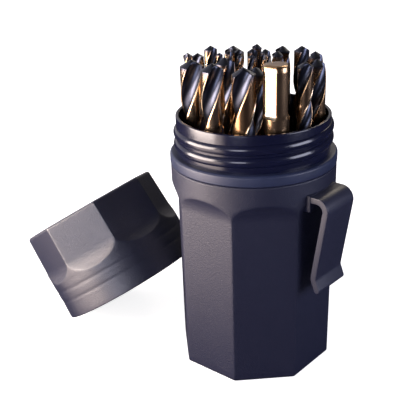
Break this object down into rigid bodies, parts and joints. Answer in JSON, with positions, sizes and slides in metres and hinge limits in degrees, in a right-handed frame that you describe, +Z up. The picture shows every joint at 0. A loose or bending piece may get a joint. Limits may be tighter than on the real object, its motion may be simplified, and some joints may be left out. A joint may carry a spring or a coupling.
{
  "type": "drill bit case",
  "caption": "Eight-sided screw-top case with a belt clip, its lid off and leaning on it, full of twist drill bits.",
  "frame": {"origin": "centre of the case's base on the surface that it stands on", "axes": "+Z up along the case's axis, +X towards the belt clip; the lid leans on the side away from the clip"},
  "size_m": [0.1898, 0.1084, 0.1671],
  "materials": {
    "case_plastic": "fine matte moulded plastic, dark blue grey",
    "collar_plastic": "smooth moulded plastic, dark navy",
    "holder_plastic": "matte black",
    "liner_foam": "soft foam",
    "bit_steel": "black oxide flutes with gold lands and shanks"
  },
  "bodies": {
    "case": {"case_body": "case_plastic", "threaded_collar": "collar_plastic", "holder_outer_ring": "holder_plastic", "holder_middle_ring": "holder_plastic", "holder_core": "holder_plastic"},
    "belt_clip": {"belt_clip": "case_plastic"},
    "lid_off": {"lid_liner": "liner_foam"},
    "lid": {"lid_shell": "case_plastic"},
    "drill_bit_04": {"drill_bit_04": "bit_steel"},
    "drill_bit_05": {"drill_bit_05": "bit_steel"},
    "drill_bit_06": {"drill_bit_06": "bit_steel"},
    "drill_bit_07": {"drill_bit_07": "bit_steel"},
    "drill_bit_08": {"drill_bit_08": "bit_steel"},
    "drill_bit_09": {"drill_bit_09": "bit_steel"},
    "drill_bit_10": {"drill_bit_10": "bit_steel"},
    "drill_bit_11": {"drill_bit_11": "bit_steel"},
    "drill_bit_12": {"drill_bit_12": "bit_steel"},
    "drill_bit_13": {"drill_bit_13": "bit_steel"},
    "drill_bit_14": {"drill_bit_14": "bit_steel"},
    "drill_bit_15": {"drill_bit_15": "bit_steel"},
    "drill_bit_16": {"drill_bit_16": "bit_steel"},
    "drill_bit_17": {"drill_bit_17": "bit_steel"},
    "drill_bit_18": {"drill_bit_18": "bit_steel"},
    "drill_bit_19": {"drill_bit_19": "bit_steel"},
    "drill_bit_20": {"drill_bit_20": "bit_steel"},
    "drill_bit_21": {"drill_bit_21": "bit_steel"},
    "drill_bit_22": {"drill_bit_22": "bit_steel"},
    "drill_bit_23": {"drill_bit_23": "bit_steel"},
    "drill_bit_24": {"drill_bit_24": "bit_steel"},
    "drill_bit_25": {"drill_bit_25": "bit_steel"},
    "drill_bit_26": {"drill_bit_26": "bit_steel"},
    "drill_bit_27": {"drill_bit_27": "bit_steel"},
    "drill_bit_28": {"drill_bit_28": "bit_steel"},
    "drill_bit_29": {"drill_bit_29": "bit_steel"},
    "drill_bit_30": {"drill_bit_30": "bit_steel"},
    "drill_bit_31": {"drill_bit_31": "bit_steel"},
    "drill_bit_32": {"drill_bit_32": "bit_steel"}
  },
  "joints": [
    {"name": "belt_clip_spring", "type": "hinge", "parent": "case", "child": "belt_clip", "pos_m": [0.0434, 0, 0.10375], "axis": [0, -1, 0], "range_deg": [0, 8], "stiffness_Nm_per_rad": 5},
    {"name": "lid_lift", "type": "slide", "parent": "case", "child": "lid_off", "axis": [-0.5491, -0.0889, 0.831], "range_m": [0, 0.08]},
    {"name": "lid_turn", "type": "hinge", "parent": "lid_off", "child": "lid", "pos_m": [-0.07492, -0.02064, 0.02359], "axis": [-0.5491, -0.0889, 0.831], "continuous": true},
    {"name": "pull_drill_bit_04", "type": "slide", "parent": "case", "child": "drill_bit_04", "axis": [0, 0, 1], "range_m": [0, 0.0237]},
    {"name": "pull_drill_bit_05", "type": "slide", "parent": "case", "child": "drill_bit_05", "axis": [0, 0, 1], "range_m": [0, 0.0269]},
    {"name": "pull_drill_bit_06", "type": "slide", "parent": "case", "child": "drill_bit_06", "axis": [0, 0, 1], "range_m": [0, 0.0333]},
    {"name": "pull_drill_bit_07", "type": "slide", "parent": "case", "child": "drill_bit_07", "axis": [0, 0, 1], "range_m": [0, 0.0435]},
    {"name": "pull_drill_bit_08", "type": "slide", "parent": "case", "child": "drill_bit_08", "axis": [0, 0, 1], "range_m": [0, 0.0467]},
    {"name": "pull_drill_bit_09", "type": "slide", "parent": "case", "child": "drill_bit_09", "axis": [0, 0, 1], "range_m": [0, 0.0498]},
    {"name": "pull_drill_bit_10", "type": "slide", "parent": "case", "child": "drill_bit_10", "axis": [0, 0, 1], "range_m": [0, 0.0569]},
    {"name": "pull_drill_bit_11", "type": "slide", "parent": "case", "child": "drill_bit_11", "axis": [0, 0, 1], "range_m": [0, 0.0594]},
    {"name": "pull_drill_bit_12", "type": "slide", "parent": "case", "child": "drill_bit_12", "axis": [-0.008, -0.0035, 1], "range_m": [0, 0.065]},
    {"name": "pull_drill_bit_13", "type": "slide", "parent": "case", "child": "drill_bit_13", "axis": [0, 0, 1], "range_m": [0, 0.0689]},
    {"name": "pull_drill_bit_14", "type": "slide", "parent": "case", "child": "drill_bit_14", "axis": [0, 0, 1], "range_m": [0, 0.0721]},
    {"name": "pull_drill_bit_15", "type": "slide", "parent": "case", "child": "drill_bit_15", "axis": [0, 0, 1], "range_m": [0, 0.0752]},
    {"name": "pull_drill_bit_16", "type": "slide", "parent": "case", "child": "drill_bit_16", "axis": [-0.0048, 0.0073, 1], "range_m": [0, 0.0791]},
    {"name": "pull_drill_bit_17", "type": "slide", "parent": "case", "child": "drill_bit_17", "axis": [-0.0087, -0.0011, 1], "range_m": [0, 0.083]},
    {"name": "pull_drill_bit_18", "type": "slide", "parent": "case", "child": "drill_bit_18", "axis": [-0.0086, 0.0016, 1], "range_m": [0, 0.0841]},
    {"name": "pull_drill_bit_19", "type": "slide", "parent": "case", "child": "drill_bit_19", "axis": [0, 0, 1], "range_m": [0, 0.0879]},
    {"name": "pull_drill_bit_20", "type": "slide", "parent": "case", "child": "drill_bit_20", "axis": [0.0087, -0.0005, 1], "range_m": [0, 0.089]},
    {"name": "pull_drill_bit_21", "type": "slide", "parent": "case", "child": "drill_bit_21", "axis": [0.0021, 0.0085, 1], "range_m": [0, 0.0936]},
    {"name": "pull_drill_bit_22", "type": "slide", "parent": "case", "child": "drill_bit_22", "axis": [0.0056, 0.0067, 1], "range_m": [0, 0.0968]},
    {"name": "pull_drill_bit_23", "type": "slide", "parent": "case", "child": "drill_bit_23", "axis": [-0.0012, 0.0086, 1], "range_m": [0, 0.1013]},
    {"name": "pull_drill_bit_24", "type": "slide", "parent": "case", "child": "drill_bit_24", "axis": [-0.0073, 0.0049, 1], "range_m": [0, 0.1045]},
    {"name": "pull_drill_bit_25", "type": "slide", "parent": "case", "child": "drill_bit_25", "axis": [0.0075, 0.0044, 1], "range_m": [0, 0.1077]},
    {"name": "pull_drill_bit_26", "type": "slide", "parent": "case", "child": "drill_bit_26", "axis": [0, 0, 1], "range_m": [0, 0.1081]},
    {"name": "pull_drill_bit_27", "type": "slide", "parent": "case", "child": "drill_bit_27", "axis": [0, 0, 1], "range_m": [0, 0.1133]},
    {"name": "pull_drill_bit_28", "type": "slide", "parent": "case", "child": "drill_bit_28", "axis": [0, 0, 1], "range_m": [0, 0.1179]},
    {"name": "pull_drill_bit_29", "type": "slide", "parent": "case", "child": "drill_bit_29", "axis": [-0.0002, -0.0087, 1], "range_m": [0, 0.1169]},
    {"name": "pull_drill_bit_30", "type": "slide", "parent": "case", "child": "drill_bit_30", "axis": [0.0042, -0.0076, 1], "range_m": [0, 0.1207]},
    {"name": "pull_drill_bit_31", "type": "slide", "parent": "case", "child": "drill_bit_31", "axis": [-0.0063, -0.0061, 1], "range_m": [0, 0.126]},
    {"name": "pull_drill_bit_32", "type": "slide", "parent": "case", "child": "drill_bit_32", "axis": [0.0074, -0.0046, 1], "range_m": [0, 0.1264]}
  ]
}
